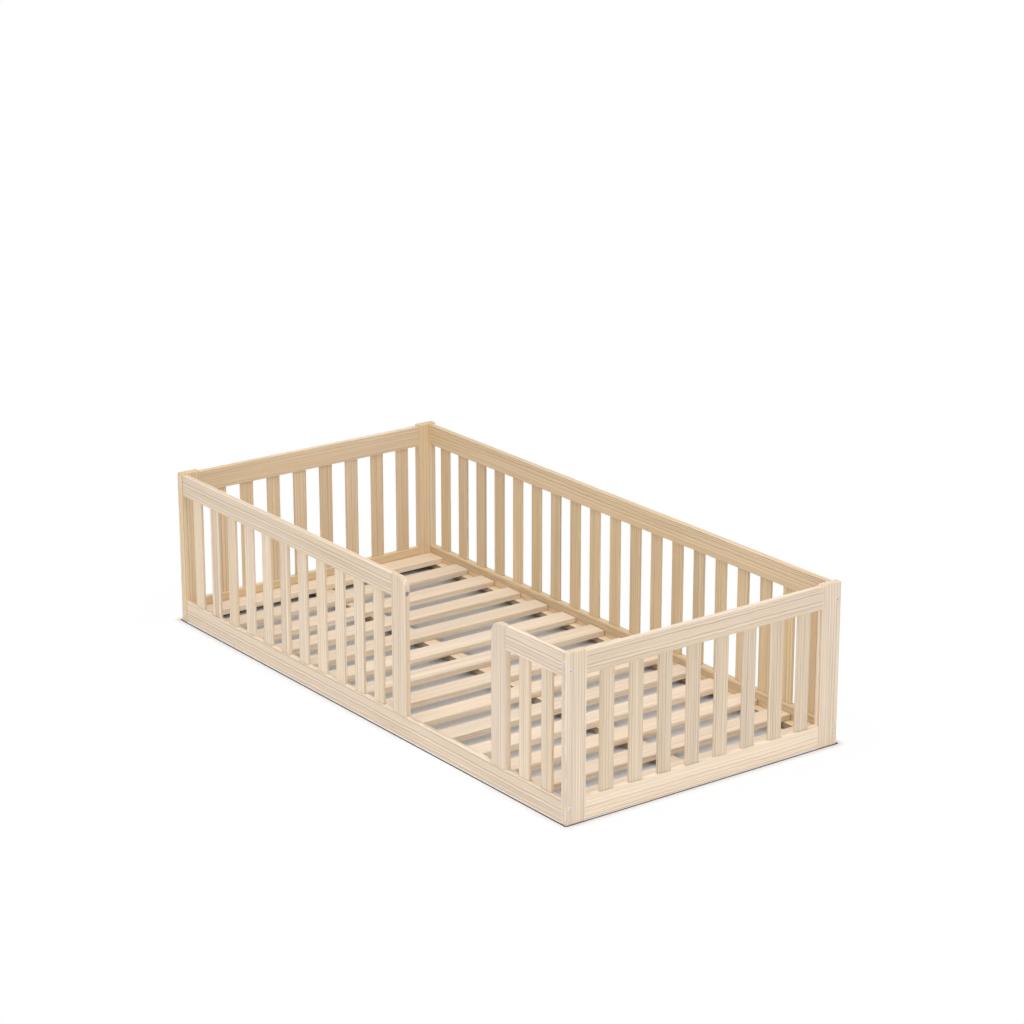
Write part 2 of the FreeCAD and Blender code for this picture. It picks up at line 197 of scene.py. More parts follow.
def boardGrid(low, high, sweepAxis, radii, endRound, seed, arcSteps=None):
    # Rounded rectangle swept along one axis of the box from low to high; radii are its corners'
    low, high = np.array(low), np.array(high)
    axisA, axisB = (sweepAxis + 1) % 3, (sweepAxis + 2) % 3
    half = (high - low) / 2
    spacing = boardShape["ringSpacing"] * millimetre
    place, inset = ringPlan(high[sweepAxis] - low[sweepAxis], endRound, spacing)
    drift = np.random.default_rng(seed).uniform(0, 2 * math.pi, (2, 4))
    slow = np.sin(place[:, None] * boardShape["slowWave"] + drift[0])
    quick = np.sin(place[:, None] * boardShape["quickWave"] + drift[1])
    wave = slow + boardShape["quickShare"] * quick
    largest = 1 + boardShape["quickShare"]
    radii = np.array(radii) * (1 + boardShape["edgeWander"] * wave / largest)
    section = sectionRings(half[axisA], half[axisB], radii, inset,
                           arcSteps or boardShape["arcSteps"])
    grid = np.empty(section.shape[:2] + (3,))
    grid[..., axisA] = section[..., 0] + (low[axisA] + high[axisA]) / 2
    grid[..., axisB] = section[..., 1] + (low[axisB] + high[axisB]) / 2
    grid[..., sweepAxis] = low[sweepAxis] + place[:, None]
    return grid


def latheGrid(start, direction, depth, radius):
    # depth (ring) or (ring, step) along direction from start; radius (ring, step) round it
    direction = Vector(direction).normalized()
    side = direction.orthogonal().normalized()
    other = direction.cross(side)
    radius = np.atleast_2d(radius)
    turn = np.arange(radius.shape[1]) * 2 * math.pi / radius.shape[1]
    depth = np.broadcast_to(np.asarray(depth, float).reshape(len(radius), -1), radius.shape)
    return (np.array(start) + depth[..., None] * np.array(direction)
            + (radius * np.cos(turn))[..., None] * np.array(side)
            + (radius * np.sin(turn))[..., None] * np.array(other))


def cutHoles(piece, cutters):
    # One exact boolean takes all the holes of a board
    cutter = bpy.data.objects.new(piece.name + "_cutter", makeMesh("cutter", cutters))
    bpy.context.scene.collection.objects.link(cutter)
    modifier = piece.modifiers.new("holes", "BOOLEAN")
    modifier.operation = "DIFFERENCE"
    modifier.solver = "EXACT"
    modifier.object = cutter
    graph = bpy.context.evaluated_depsgraph_get()
    cut = bpy.data.meshes.new_from_object(piece.evaluated_get(graph))
    cut.name = piece.data.name
    piece.modifiers.clear()
    piece.data = cut
    bpy.data.objects.remove(cutter)


grainHabit = {
    "pithDistance": (0.08, 0.20),   # m from the board's middle to the tree's centre
    "riftTurn": 34,                 # degrees: how far the rings may slope across the wide face
    "flatSawnShare": 0.08,          # boards with the tree's centre under their wide face
    "flatSawnDistance": (0.03, 0.06),
    "flatSawnShift": 0.02,
    "alongShift": 40.0,             # m, so that no two boards share a stretch of the pattern
    "toneSwing": 1.0,               # chance tone and warmth that each board adds to its look
    "warmthSwing": 0.1,
    "endSlope": 0.7,                # share of a face's normal along the grain that makes it an end
}


# Tone, warmth and strength of the rings, by the start of a board's name. Tone and warmth are
# painted light and shade, set per board to match how light falls on it: darker, warmer boards
# where the back and head panels and the foot spindles lie in shade, a brighter foot_lower_rail lit
# from the floor
boardLook = {
    "front_top_rail_left": (-0.6, 0, 1), "front_top_rail_right": (-0.6, -0.1, 1),
    "front_lower_rail": (-0.9, -0.25, 1), "foot_lower_rail": (2.6, -0.5, 1.2),
    "foot_top_rail": (0.4, 0, 1.3), "foot_post_front": (0.2, -0.4, 1.1),
    "entry_post_left": (-0.4, 0, 1), "entry_post_right": (-0.4, -0.1, 1),
    "foot_spindles": (-1.8, 0.1, 1), "slat": (-0.7, -0.2, 0.9), "head_post": (-0.5, 0.8, 1),
    "head_top_rail": (-0.5, 0.6, 1), "head_lower_rail": (0, 0.6, 1),
    "head_spindles": (-0.9, 0.5, 1),
    "back_top_rail": (-1.2, 0.6, 1), "back_lower_rail": (-1.6, 1.0, 1),
    "back_spindles": (-1.6, 0.8, 1), "ledger_back": (-0.5, 0.4, 1),
}
grainSeeds = {"front_lower_rail": 500, "foot_top_rail": 704}    # the others count from 0


def lookOf(name):
    return next((look for start, look in boardLook.items() if name.startswith(start)), (0, 0, 1))


def giveGrain(piece, grainAxis, boxes, seed):
    # grainPlace holds each point's place in its own tree: along the grain, and its offset from
    # the tree's centre across and through the board. The look attribute holds tone, warmth and
    # strength
    # of the rings: painted light and shade listed per board plus a random tone and warmth for each
    # board. endGrain marks the sawn ends. boxes are the piece's boards
    mesh = piece.data
    places = vertexPlaces(mesh)
    grain = np.empty_like(places)
    look = np.tile(lookOf(piece.name), (len(places), 1)).astype(float)
    middles = np.array([(np.array(low) + np.array(high)) / 2 for low, high in boxes])
    distance = np.linalg.norm((places[:, None] - middles) * (np.arange(3) != grainAxis), axis=2)
    board = distance.argmin(axis=1)
    for number, (low, high) in enumerate(boxes):
        random = np.random.default_rng([seed, number])
        size = np.array(high) - np.array(low)
        others = [axis for axis in range(3) if axis != grainAxis]
        across, through = sorted(others, key=lambda axis: -size[axis])
        side = random.choice([-1, 1])
        reach = random.uniform(*grainHabit["pithDistance"])
        slope = math.radians(random.uniform(-1, 1) * grainHabit["riftTurn"])
        pith = np.array([side * reach * math.cos(slope), reach * math.sin(slope)])
        if random.random() < grainHabit["flatSawnShare"]:
            pith = np.array([random.uniform(-1, 1) * grainHabit["flatSawnShift"],
                             side * random.uniform(*grainHabit["flatSawnDistance"])])
        mine = board == number
        grain[mine, 0] = places[mine, grainAxis] + random.uniform(0, grainHabit["alongShift"])
        grain[mine, 1] = places[mine, across] - middles[number, across] - pith[0]
        grain[mine, 2] = places[mine, through] - middles[number, through] - pith[1]
        look[mine, 0] += random.uniform(-grainHabit["toneSwing"], grainHabit["toneSwing"])
        look[mine, 1] += random.uniform(-grainHabit["warmthSwing"], grainHabit["warmthSwing"])
    attribute = mesh.attributes.new("grainPlace", "FLOAT_VECTOR", "POINT")
    attribute.data.foreach_set("vector", grain.astype(np.float32).ravel())
    attribute = mesh.attributes.new("boardLook", "FLOAT_VECTOR", "POINT")
    attribute.data.foreach_set("vector", look.astype(np.float32).ravel())
    normals = np.empty(len(mesh.polygons) * 3, np.float32)
    mesh.polygons.foreach_get("normal", normals)
    sizes = np.empty(len(mesh.polygons), np.int32)
    mesh.polygons.foreach_get("loop_total", sizes)
    endFace = np.abs(normals.reshape(-1, 3)[:, grainAxis]) > grainHabit["endSlope"]
    attribute = mesh.attributes.new("endGrain", "FLOAT", "CORNER")
    attribute.data.foreach_set("value", np.repeat(endFace.astype(np.float32), sizes))


# ---- node helpers

class NodeSheet:
    # Adds nodes to a tree and joins them; a value may be a socket or a constant
    def __init__(self, tree):
        self.tree = tree

    def add(self, kind, inputs=None, **settings):
        node = self.tree.nodes.new(kind)
        for key, value in settings.items():
            setattr(node, key, value)
        for key, value in (inputs or {}).items():
            self.join(value, node.inputs[key])
        return node

    def join(self, value, socket):
        if isinstance(value, bpy.types.NodeSocket):
            self.tree.links.new(value, socket)
        else:
            socket.default_value = value

    def math(self, operation, first, second=0.0, third=0.0):
        node = self.add("ShaderNodeMath", {0: first, 1: second, 2: third}, operation=operation)
        return node.outputs[0]

    def smoothRange(self, value, start, end, top=1.0):
        # From 0 at start up to top at end, with soft bends
        node = self.add("ShaderNodeMapRange", {"Value": value, "From Min": start, "From Max": end,
                                               "To Max": top}, interpolation_type="SMOOTHSTEP")
        return node.outputs[0]

    def grey(self, value):
        return self.add("ShaderNodeCombineColor", {0: value, 1: value, 2: value}).outputs[0]

    def seenByEye(self):
        # 1 for rays from the camera and for what it sees in metal or through glass
        path = self.add("ShaderNodeLightPath")
        seen = self.math("MAXIMUM", path.outputs["Is Camera Ray"], path.outputs["Is Glossy Ray"])
        return self.math("MAXIMUM", seen, path.outputs["Is Transmission Ray"])

    def mix(self, share, first, second, blend="MIX"):
        node = self.add("ShaderNodeMix", data_type="RGBA", blend_type=blend, clamp_factor=True)
        self.join(share, node.inputs[0])
        self.join(first, node.inputs[6])
        self.join(second, node.inputs[7])
        return node.outputs[2]

    def stretchedNoise(self, place, stretch, detail=2.0, roughness=0.5):
        scaled = self.add("ShaderNodeVectorMath", {0: place, 1: stretch}, operation="MULTIPLY")
        noise = self.add("ShaderNodeTexNoise", {"Vector": scaled.outputs[0], "Scale": 1.0,
                                                "Detail": detail, "Roughness": roughness})
        return noise.outputs[0]

    def ramp(self, value, stops):
        node = self.add("ShaderNodeValToRGB", {0: value})
        band = node.color_ramp
        while len(band.elements) < len(stops):
            band.elements.new(0.5)
        for element, (place, level) in zip(band.elements, stops):
            element.position = place
            element.color = (level, level, level, 1)
        return node.outputs[0]


def newGroup(name, inputs, outputs):
    group = bpy.data.node_groups.new(name, "ShaderNodeTree")
    for label, kind, value in inputs:
        socket = group.interface.new_socket(name=label, in_out="INPUT",
                                            socket_type="NodeSocket" + kind)
        if value is not None:
            socket.default_value = value
    for label, kind in outputs:
        group.interface.new_socket(name=label, in_out="OUTPUT",
                                   socket_type="NodeSocket" + kind)
    sheet = NodeSheet(group)
    return group, sheet, sheet.add("NodeGroupInput"), sheet.add("NodeGroupOutput")


# ---- pine

pine = {
    "early": (0.920, 0.770, 0.594, 1),      # wide pale spring wood
    "late": (0.500, 0.365, 0.240, 1),       # narrow dark summer wood
    "warm": (0.850, 0.660, 0.405, 1),
    "endTint": (0.93, 0.89, 0.83, 1),
    "toneShare": 0.045,                     # brightness per unit of tone
    "cloudShare": 1.3, "cloudShift": -0.49,
    "lateLevel": {"ringTop": 0.7, "ringLeast": 0.5, "fadeTop": 1.1, "fadeLeast": 0.35},
    "ductShare": 0.22, "streakShare": 0.40, "fibreShare": 0.12,
    "roughness": 0.60, "ringRoughness": -0.10, "fibreRoughness": 0.18, "specular": 0.35,
    "ringHeight": 0.5, "fibreHeight": 0.9, "streakHeight": 0.5, "ductHeight": -0.5,
    "bumpStrength": 0.28, "bumpDistance": 0.0003,
}
pattern = {    # noise per metre along, across and through the board
    "sway": (1.9, 7, 7), "ripple": (24, 60, 60), "rippleShare": 0.40, "bendSize": 4.0,
    "bendThrough": 0.4, "slowYears": 0.31, "unevenYears": 2.6,
    "ring": [(0.0, 0.12), (0.25, 0.0), (0.78, 0.80), (0.88, 1.0), (0.96, 0.55), (1.0, 0.12)],
    "fade": (2.5, 40, 40), "streak": (3, 150, 150), "fibre": (26, 1300, 1300),
    "duct": (45, 1700, 1700), "ductStops": [(0.0, 0.0), (0.67, 0.0), (0.76, 1.0), (1.0, 1.0)],
    "cloud": (0.9, 6, 6),
}


def makePineGrain():
    # Growth rings are the fraction of the distance from the tree's centre over the ring spacing,
    # bent by slow noise and a finer ripple; fibres, streaks and resin ducts are noise stretched
    # along the grain
    group, sheet, given, result = newGroup("pineGrain", [
        ("Place", "Vector", None), ("Tone", "Float", 0.0), ("Warmth", "Float", 0.0),
        ("End grain", "Float", 0.0),
        ("Ring spacing", "Float", 0.005), ("Ring strength", "Float", 0.6),
        ("Bend", "Float", 0.003),
    ], [("Colour", "Color"), ("Roughness", "Float"), ("Height", "Float")])
    straight = given.outputs["Place"]
    sway = sheet.math("SUBTRACT", sheet.stretchedNoise(straight, pattern["sway"]), 0.5)
    ripple = sheet.math("SUBTRACT", sheet.stretchedNoise(straight, pattern["ripple"], 1.0), 0.5)
    bend = sheet.math("MULTIPLY_ADD", ripple, pattern["rippleShare"], sway)
    bend = sheet.math("MULTIPLY", bend, given.outputs["Bend"])
    bend = sheet.math("MULTIPLY", bend, pattern["bendSize"])
    shift = sheet.add("ShaderNodeCombineXYZ",
                      {1: bend, 2: sheet.math("MULTIPLY", bend, pattern["bendThrough"])})
    place = sheet.add("ShaderNodeVectorMath", {0: straight, 1: shift.outputs[0]},
                      operation="ADD").outputs[0]
    flat = sheet.add("ShaderNodeVectorMath", {0: place, 1: (0, 1, 1)}, operation="MULTIPLY")
    distance = sheet.add("ShaderNodeVectorMath", {0: flat.outputs[0]}, operation="LENGTH")
    years = sheet.math("DIVIDE", distance.outputs["Value"], given.outputs["Ring spacing"])
    slowYears = sheet.add("ShaderNodeCombineXYZ",
                          {0: sheet.math("MULTIPLY", years, pattern["slowYears"])})
    uneven = sheet.stretchedNoise(slowYears.outputs[0], (1, 1, 1), detail=0.0)
    years = sheet.math("MULTIPLY_ADD", uneven, pattern["unevenYears"], years)
    ring = sheet.ramp(sheet.math("FRACT", years), pattern["ring"])
    ringNumber = sheet.add("ShaderNodeTexWhiteNoise", {"W": sheet.math("FLOOR", years)},
                           noise_dimensions="1D").outputs[0]
    late = pine["lateLevel"]
    ringLevel = sheet.math("MULTIPLY", ring, sheet.math("MULTIPLY_ADD", ringNumber,
                                                        late["ringTop"], late["ringLeast"]))
    fade = sheet.stretchedNoise(place, pattern["fade"])
    ringLevel = sheet.math("MULTIPLY", ringLevel, sheet.math("MULTIPLY_ADD", fade,
                                                             late["fadeTop"], late["fadeLeast"]))
    ringLevel = sheet.math("MULTIPLY", ringLevel, given.outputs["Ring strength"])

    streak = sheet.math("SUBTRACT", sheet.stretchedNoise(place, pattern["streak"], 3.0, 0.6), 0.5)
    fibre = sheet.math("SUBTRACT", sheet.stretchedNoise(place, pattern["fibre"], 3.0, 0.6), 0.5)
    duct = sheet.ramp(sheet.stretchedNoise(place, pattern["duct"], 1.0), pattern["ductStops"])
    cloud = sheet.stretchedNoise(place, pattern["cloud"], 1.0)

    warmth = sheet.math("MULTIPLY_ADD", cloud, pine["cloudShare"], pine["cloudShift"])
    warmth = sheet.math("ADD", warmth, given.outputs["Warmth"])
    colour = sheet.mix(warmth, pine["early"], pine["warm"])
    colour = sheet.mix(ringLevel, colour, pine["late"])
    colour = sheet.mix(sheet.math("MULTIPLY", duct, pine["ductShare"]), colour, pine["late"])
    value = sheet.math("MULTIPLY_ADD", given.outputs["Tone"], pine["toneShare"], 1.0)
    value = sheet.math("MULTIPLY_ADD", streak, pine["streakShare"], value)
    value = sheet.math("MULTIPLY_ADD", fibre, pine["fibreShare"], value)
    colour = sheet.mix(1.0, colour, sheet.grey(value), "MULTIPLY")
    sawn = sheet.mix(1.0, colour, pine["endTint"], "MULTIPLY")
    colour = sheet.mix(given.outputs["End grain"], colour, sawn)
    sheet.join(colour, result.inputs["Colour"])

    rough = sheet.math("MULTIPLY_ADD", ringLevel, pine["ringRoughness"], pine["roughness"])
    rough = sheet.math("MULTIPLY_ADD", fibre, pine["fibreRoughness"], rough)
    sheet.join(rough, result.inputs["Roughness"])
    height = sheet.math("MULTIPLY_ADD", ringLevel, pine["ringHeight"],
                        sheet.math("MULTIPLY", fibre, pine["fibreHeight"]))
    height = sheet.math("MULTIPLY_ADD", streak, pine["streakHeight"], height)
    height = sheet.math("MULTIPLY_ADD", duct, pine["ductHeight"], height)
    sheet.join(height, result.inputs["Height"])
    return group


def newMaterial(name):
    material = bpy.data.materials.new(name)
    material.use_nodes = True
    material.node_tree.nodes.clear()
    sheet = NodeSheet(material.node_tree)
    shader = sheet.add("ShaderNodeBsdfPrincipled")
    output = sheet.add("ShaderNodeOutputMaterial", {"Surface": shader.outputs[0]})
    return material, sheet, shader, output


def makePine(name, grain, ringSpacing, ringStrength, bend):
    material, sheet, shader, _ = newMaterial(name)
    place = sheet.add("ShaderNodeAttribute", attribute_name="grainPlace").outputs["Vector"]
    # Tone and warmth of the look attribute carry painted light and shade per board, besides each
    # board's random tone
    look = sheet.add("ShaderNodeAttribute", attribute_name="boardLook").outputs["Vector"]
    look = sheet.add("ShaderNodeSeparateXYZ", {0: look})
    endGrain = sheet.add("ShaderNodeAttribute", attribute_name="endGrain").outputs["Fac"]
    wood = sheet.add("ShaderNodeGroup", node_tree=grain)
    strength = sheet.math("MULTIPLY", look.outputs[2], ringStrength)
    for label, value in (("Place", place), ("Tone", look.outputs[0]), ("Warmth", look.outputs[1]),
                         ("End grain", endGrain), ("Ring spacing", ringSpacing),
                         ("Ring strength", strength), ("Bend", bend)):
        sheet.join(value, wood.inputs[label])
    bump = sheet.add("ShaderNodeBump", {"Strength": pine["bumpStrength"],
                                        "Distance": pine["bumpDistance"],
                                        "Height": wood.outputs["Height"]})
    sheet.join(wood.outputs["Colour"], shader.inputs["Base Color"])
    sheet.join(wood.outputs["Roughness"], shader.inputs["Roughness"])
    sheet.join(bump.outputs[0], shader.inputs["Normal"])
    shader.inputs["Specular IOR Level"].default_value = pine["specular"]
    return material


# ---- metal

plating = {
    "blotchNoise": (450, 450, 450), "scratchNoise": (4000, 300, 2500),   # per metre
    "paintedShadeLevel": -0.5, "roughness": 0.24, "scratchRoughness": 0.22,
    "bumpStrength": 0.25, "bumpDistance": 0.0001,
}


def makeSteelWearAndShade():
    # Fine blotches of the plating, and soft scratches, on the fastener's own coordinates; an input
    # of painted shade darkens the colour, standing in for the shade in the bolts' sockets and over
    # the entry bolts' heads
    group, sheet, given, result = newGroup("platingWear", [
        ("Place", "Vector", None), ("Colour", "Color", (0.7, 0.7, 0.7, 1)),
        ("Blotch", "Float", 0.12), ("Socket", "Float", 0.0),
    ], [("Colour", "Color"), ("Roughness", "Float"), ("Height", "Float")])
    place = given.outputs["Place"]
    blotch = sheet.stretchedNoise(place, plating["blotchNoise"], 3.0)
    blotch = sheet.math("SUBTRACT", blotch, 0.5)
    scratch = sheet.stretchedNoise(place, plating["scratchNoise"], 2.0)
    value = sheet.math("MULTIPLY_ADD", blotch, given.outputs["Blotch"], 1.0)
    value = sheet.math("MULTIPLY_ADD", given.outputs["Socket"], plating["paintedShadeLevel"], value)
    colour = sheet.mix(1.0, given.outputs["Colour"], sheet.grey(value), "MULTIPLY")
    sheet.join(colour, result.inputs["Colour"])
    rough = sheet.math("MULTIPLY_ADD", scratch, plating["scratchRoughness"], plating["roughness"])
    sheet.join(rough, result.inputs["Roughness"])
    sheet.join(sheet.math("ADD", blotch, scratch), result.inputs["Height"])
    return group


def makeSteel(name, wearAndShade, colour, blotch):
    material, sheet, shader, _ = newMaterial(name)
    place = sheet.add("ShaderNodeTexCoord").outputs["Object"]
    surface = sheet.add("ShaderNodeGroup", node_tree=wearAndShade)
    # The socket attribute holds painted shade for the sockets and for the entry bolts' whole heads
    socket = sheet.add("ShaderNodeAttribute", attribute_name="socket").outputs["Fac"]
    for label, value in (("Place", place), ("Colour", colour), ("Blotch", blotch),
                         ("Socket", socket)):
        sheet.join(value, surface.inputs[label])
    bump = sheet.add("ShaderNodeBump", {"Strength": plating["bumpStrength"],
                                        "Distance": plating["bumpDistance"],
                                        "Height": surface.outputs["Height"]})
    sheet.join(surface.outputs["Colour"], shader.inputs["Base Color"])
    sheet.join(surface.outputs["Roughness"], shader.inputs["Roughness"])
    sheet.join(bump.outputs[0], shader.inputs["Normal"])
    shader.inputs["Metallic"].default_value = 1.0
    return material


pineGrain = makePineGrain()
steelWearAndShade = makeSteelWearAndShade()
materials = {
    "pine_upright": makePine("pineUpright", pineGrain, 0.0060, 0.68, 0.0018),
    "pine_length": makePine("pineLength", pineGrain, 0.0064, 0.92, 0.0026),
    "pine_cross": makePine("pineCross", pineGrain, 0.0068, 0.55, 0.0026),
    "beech_dowel": makePine("beechDowel", pineGrain, 0.0025, 0.9, 0.002),
    "bolt_steel": makeSteel("zincPlated", steelWearAndShade, (0.80, 0.74, 0.71, 1), 0.35),
    "screw_steel": makeSteel("yellowZincPlated", steelWearAndShade, (0.72, 0.60, 0.36, 1), 0.3),
}
print("materials ready")


# ---- fasteners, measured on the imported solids

endSlice = 1e-3       # m of a fastener's end in which its width there is measured
poleRadius = 0.05     # mm, where a lathed surface closes on its axis


def fastenerFacts(points):
    # Axis, wide end, direction inwards and length of one bolt, screw, insert or dowel
    low, high = points.min(axis=0), points.max(axis=0)
    axis = int((high - low).argmax())
    middle = (low + high) / 2
    radial = np.linalg.norm(np.delete(points - middle, axis, axis=1), axis=1)
    lowWidth = radial[points[:, axis] < low[axis] + endSlice].max()
    highWidth = radial[points[:, axis] > high[axis] - endSlice].max()
    direction = np.zeros(3)
    direction[axis] = 1 if lowWidth >= highWidth else -1
    start = middle.copy()
    start[axis] = low[axis] if direction[axis] > 0 else high[axis]
    return {"start": start, "direction": direction, "length": (high - low)[axis],
            "width": radial.max(), "axis": axis}


def latheRings(start, direction, rings):
    # rings are (depth, radii) in mm, with one radius for each step round the axis
    depth = np.array([ring[0] for ring in rings]) * millimetre
    radius = np.array([ring[1] for ring in rings]) * millimetre
    return latheGrid(start, direction, depth, radius)


bolt = {
    "steps": 36, "shankRadius": 3.0, "headHeight": 2.6, "rimRound": 0.5, "rimSteps": 5,
    "rimFlat": 0.3, "faceRadius": 3.5, "headEdge": 0.15, "neck": 0.3,
    "keyWidth": 5.0, "keyDepth": 1.8, "keyChamfer": 0.25, "keyFloorDip": 0.5,
    "keyFloorShare": 0.96, "keyCorner": 0.1,
    "socketRings": 4, "paintedShadeLevel": 0.65,              # rings of the socket, and how dark their painted shade is
    "pitch": 1.0, "pitchSteps": 4, "threadDepth": 0.35, "threadLength": 22.0,
    "bareUnderHead": 2, "runOut": 0.5, "tipStart": 0.8, "tipLength": 0.6, "tipRound": 0.9,
    "dark": ("entry_top_bolts", "entry_foot_bolts"),    # heads painted dark all over, as painted shade
}


def boltGrid(fact):
    # Rings run from the socket's floor up its hexagon wall, over the rim and down the thread.
    # The thread's radius falls by a triangle wave of (depth / pitch - turn)
    turn = np.arange(bolt["steps"]) / bolt["steps"]
    one = np.ones(bolt["steps"])
    hexagon = bolt["keyWidth"] / 2 / np.cos((turn * 6 % 1 - 0.5) * math.pi / 3)
    width, shank, head = fact["width"] / millimetre, bolt["shankRadius"], bolt["headHeight"]
    rim, key = bolt["rimRound"], bolt["keyDepth"]
    length = fact["length"] / millimetre
    rings = [
        (key + bolt["keyFloorDip"], poleRadius * one), (key, bolt["keyFloorShare"] * hexagon),
        (key - bolt["keyCorner"], hexagon), (bolt["keyChamfer"], hexagon),
        (0.0, hexagon + bolt["keyChamfer"]),
        (0.0, bolt["faceRadius"] * one), (0.0, (width - rim - bolt["rimFlat"]) * one),
    ]
    for bend in np.linspace(0, math.pi / 2, bolt["rimSteps"]):
        rings.append((rim * (1 - math.cos(bend)), (width - rim + rim * math.sin(bend)) * one))
    rings += [(head - bolt["headEdge"], width * one), (head, (width - bolt["headEdge"]) * one),
              (head, (shank + bolt["neck"]) * one), (head + bolt["neck"], shank * one)]
    threadStart = length - min(bolt["threadLength"], length - head - bolt["bareUnderHead"])
    rings.append((threadStart - bolt["runOut"], shank * one))
    for depth in np.arange(threadStart, length - bolt["tipStart"],
                           bolt["pitch"] / bolt["pitchSteps"]):
        wave = np.abs((depth / bolt["pitch"] - turn) % 1 * 2 - 1)
        rings.append((depth, (shank - bolt["threadDepth"] * wave) * one))
    rings += [(length - bolt["tipLength"], (shank - bolt["threadDepth"]) * one),
              (length, (shank - bolt["tipRound"]) * one), (length, poleRadius * one)]
    return latheRings(fact["start"], fact["direction"], rings)


screw = {
    "steps": 20, "headHeight": 2.4, "headEdge": 0.15, "headRim": 0.12, "shankRadius": 2.0,
    "neck": 0.05, "keyRadius": 1.35, "keyDepth": 1.2, "lobes": 5, "lobeShare": 0.14,
    "keyFloorShare": 0.9, "keyFloorDip": 0.2,
    "pitch": 1.8, "pitchSteps": 3, "threadDepth": 0.5, "bareUnderHead": 3, "tipStart": 0.3,
    "point": 4.0, "leastPoint": 0.175, "tipRadius": 0.1,    # leastPoint: share of the shank
}


def screwGrid(fact):
    # Lobed key recess, countersunk head, then a wood thread that runs out over the point
    turn = np.arange(screw["steps"]) / screw["steps"]
    lobes = np.cos(turn * 2 * math.pi * screw["lobes"])
    lobes = screw["keyRadius"] * (1 + screw["lobeShare"] * lobes)
    one = np.ones(screw["steps"])
    width, length = fact["width"] / millimetre, fact["length"] / millimetre
    rings = [(screw["keyDepth"] + screw["keyFloorDip"], poleRadius * one),
             (screw["keyDepth"], screw["keyFloorShare"] * lobes), (0.0, lobes),
             (0.0, (width - screw["headEdge"]) * one), (screw["headRim"], width * one),
             (screw["headHeight"], (screw["shankRadius"] - screw["neck"]) * one)]
    threadStart = screw["headHeight"] + screw["bareUnderHead"]
    for depth in np.arange(threadStart, length - screw["tipStart"],
                           screw["pitch"] / screw["pitchSteps"]):
        slim = np.clip((length - depth) / screw["point"], screw["leastPoint"], 1)
        wave = np.abs((depth / screw["pitch"] - turn) % 1 * 2 - 1)
        rings.append((depth, (screw["shankRadius"] - screw["threadDepth"] * wave) * slim))
    rings.append((length, screw["tipRadius"] * one))
    return latheRings(fact["start"], fact["direction"], rings)


insert = {"steps": 24, "boreRadius": 3.02, "pitch": 3.0, "pitchSteps": 6, "threadDepth": 0.7,
          "chamfer": 0.6, "endTaper": 1.2, "tipStart": 0.4}


def insertGrid(fact):
    # Threaded sleeve as one ring surface: up the bore, over the mouth and down a coarse thread
    turn = np.arange(insert["steps"]) / insert["steps"]
    one = np.ones(insert["steps"])
    width, length = fact["width"] / millimetre, fact["length"] / millimetre
    inner, bore = width - insert["endTaper"], insert["boreRadius"]
    rings = [(length, inner * one), (length, bore * one), (0.0, bore * one),
             (0.0, (width - insert["chamfer"]) * one)]
    for depth in np.arange(insert["chamfer"], length - insert["tipStart"],
                           insert["pitch"] / insert["pitchSteps"]):
        wave = np.abs((depth / insert["pitch"] - turn) % 1 * 2 - 1)
        rings.append((depth, (width - insert["threadDepth"] * wave ** 2) * one))
    rings.append((length, inner * one))
    return latheRings(fact["start"], fact["direction"], rings)


dowel = {"steps": 60, "flutes": 15, "fluteDepth": 0.3, "chamfer": 0.8, "endShare": 0.1,
         "grainSeed": 900}


def dowelGrid(fact):
    # Fluted pin: the radius dips by a cosine at each flute, and both ends are chamfered
    turn = np.arange(dowel["steps"]) / dowel["steps"] * 2 * math.pi
    width, length = fact["width"] / millimetre, fact["length"] / millimetre
    fluted = width - dowel["fluteDepth"] * (0.5 - 0.5 * np.cos(turn * dowel["flutes"]))
    chamfer = dowel["chamfer"]
    ends = np.full(dowel["steps"], width - chamfer)
    rings = [(0, ends * dowel["endShare"]), (0, ends), (chamfer, fluted),
             (length - chamfer, fluted), (length, ends), (length, ends * dowel["endShare"])]
    return latheRings(fact["start"], fact["direction"], rings)


fastenerMakers = {
    "side_rail_bolts": boltGrid, "end_rail_bolts": boltGrid, "entry_top_bolts": boltGrid,
    "entry_foot_bolts": boltGrid, "slat_screws": screwGrid, "ledger_screws": screwGrid,
    "insert_nuts": insertGrid, "side_rail_dowels": dowelGrid, "end_rail_dowels": dowelGrid,
    "entry_post_dowels": dowelGrid,
}
slotOf = {part["node"]: part["material_slot"] for part in frame["record"]["subparts"]}
facts = {node: [fastenerFacts(points) for points in looseParts(node)] for node in fastenerMakers}
for node, maker in fastenerMakers.items():
    grids = [maker(fact) for fact in facts[node]]
    mesh = makeMesh(node + "_shape", grids)
    piece = addPiece(node + "_piece", mesh, slotOf[node], materials[slotOf[node]], node)
    # The socket attribute is painted shade: darker in the socket rings, and over the whole head of
    # the entry bolts
    if maker is boltGrid:
        dark = [np.repeat(np.arange(len(grid)) < bolt["socketRings"], grid.shape[1])
                for grid in grids]
        dark = np.concatenate(dark) * bolt["paintedShadeLevel"] + (node in bolt["dark"])
        attribute = mesh.attributes.new("socket", "FLOAT", "POINT")
        attribute.data.foreach_set("value", dark.clip(0, 1).astype(np.float32))
    if "dowel" in node:
        boxes = [(fact["start"], fact["start"] + fact["direction"] * fact["length"])
                 for fact in facts[node]]
        giveGrain(piece, facts[node][0]["axis"], boxes, seed=dowel["grainSeed"] + len(node))
    smoothExceptCorners(mesh)
print("fasteners ready:", {node: len(found) for node, found in facts.items()})


# ---- holes that the boards carry

